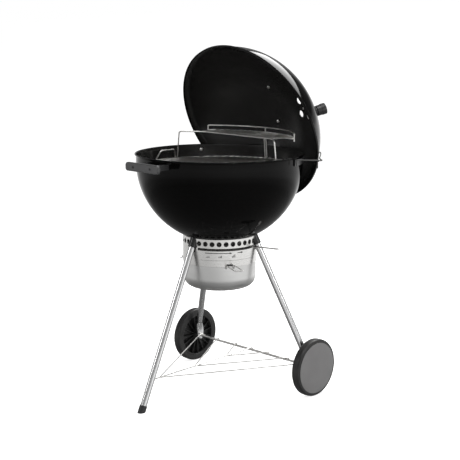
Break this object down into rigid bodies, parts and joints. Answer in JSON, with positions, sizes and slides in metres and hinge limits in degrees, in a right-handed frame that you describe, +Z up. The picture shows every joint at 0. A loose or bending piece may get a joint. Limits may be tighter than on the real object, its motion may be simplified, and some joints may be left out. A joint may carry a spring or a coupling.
{
  "type": "kettle charcoal grill",
  "caption": "Round kettle charcoal grill on a wheeled tripod stand, open, with its domed lid parked in a wire hoop behind the bowl.",
  "frame": {"origin": "middle of the bounding box's footprint, on the floor", "axes": "+Z up along the bowl's axis, -Y towards the plain front leg and the bowl handle, +Y towards the parked lid and the axle, +X along the axle"},
  "size_m": [0.6602, 0.7762, 1.1806],
  "materials": {
    "enamel": "gloss black porcelain enamel, softer inside",
    "black_metal": "satin black coated steel",
    "plastic": "black moulded plastic, satin",
    "steel": "brushed stainless steel",
    "pan_aluminium": "satin drawn aluminium",
    "leg_aluminium": "bright aluminium tube",
    "wire": "bright plated steel wire",
    "iron": "bare dark steel rod",
    "tyre": "dark moulded tyre",
    "wheel": "black moulded wheel",
    "hubcap": "grey satin disc"
  },
  "bodies": {
    "stand": {"axle": "steel", "axle_bracket_left": "leg_aluminium", "axle_bracket_right": "leg_aluminium", "bowl": "enamel", "bowl_handle": "plastic", "foot_cap": "plastic", "grate_step_1": "steel", "grate_step_2": "steel", "grate_step_3": "steel", "grate_step_4": "steel", "handle_bracket_left": "black_metal", "handle_bracket_right": "black_metal", "handle_screw_left": "black_metal", "handle_screw_right": "black_metal", "holder_bolt_left": "steel", "holder_bolt_right": "steel", "holder_bracket_left": "black_metal", "holder_bracket_right": "black_metal", "leg_brace": "wire", "leg_front": "leg_aluminium", "leg_left": "leg_aluminium", "leg_right": "leg_aluminium", "leg_socket_front": "black_metal", "leg_socket_left": "black_metal", "leg_socket_right": "black_metal", "lid_holder": "wire", "pan_catch": "wire", "vent_ring": "steel"},
    "vent": {"vent_lever": "steel", "vent_spindle": "steel", "vent_blade_1": "steel", "vent_blade_2": "steel", "vent_blade_3": "steel"},
    "pan": {"ash_pan": "pan_aluminium", "pan_handle": "wire", "pan_clip": "plastic"},
    "left_wheel": {"wheel_left": "wheel", "tyre_left": "tyre", "hubcap_left": "hubcap"},
    "right_wheel": {"wheel_right": "wheel", "tyre_right": "tyre", "hubcap_right": "hubcap"},
    "lid": {"lid_shell": "enamel", "lid_handle": "plastic", "lid_bolt_upper": "steel", "lid_bolt_lower": "steel", "lid_gauge": "plastic"},
    "damper": {"lid_damper": "pan_aluminium"},
    "cooking": {"cooking_grate": "wire"},
    "rack": {"warming_rack": "wire"},
    "charcoal": {"charcoal_grate": "iron"}
  },
  "joints": [
    {"name": "vent_sweep", "type": "hinge", "parent": "stand", "child": "vent", "pos_m": [0, -0.0099, 0.5134], "axis": [0, 0, 1], "range_deg": [-92, 0]},
    {"name": "pan_drop", "type": "slide", "parent": "stand", "child": "pan", "axis": [0, 0, -1], "range_m": [0, 0.12]},
    {"name": "left_wheel_spin", "type": "hinge", "parent": "stand", "child": "left_wheel", "pos_m": [-0.2914, 0.15, 0.0986], "axis": [1, 0, 0], "continuous": true},
    {"name": "right_wheel_spin", "type": "hinge", "parent": "stand", "child": "right_wheel", "pos_m": [0.2914, 0.15, 0.0986], "axis": [1, 0, 0], "continuous": true},
    {"name": "lid_lift", "type": "slide", "parent": "stand", "child": "lid", "axis": [0, 0.1736, 0.9848], "range_m": [0, 0.25]},
    {"name": "damper_turn", "type": "hinge", "parent": "lid", "child": "damper", "pos_m": [0.0995, 0.30912, 0.96034], "axis": [0.3334, 0.8929, 0.3026], "range_deg": [-45, 45]},
    {"name": "grate_lift", "type": "slide", "parent": "stand", "child": "cooking", "axis": [0, 0, 1], "range_m": [0, 0.08]},
    {"name": "rack_lift", "type": "slide", "parent": "cooking", "child": "rack", "axis": [0, 0, 1], "range_m": [0, 0.07]},
    {"name": "charcoal_lift", "type": "slide", "parent": "stand", "child": "charcoal", "axis": [0, 0, 1], "range_m": [0, 0.1]}
  ]
}
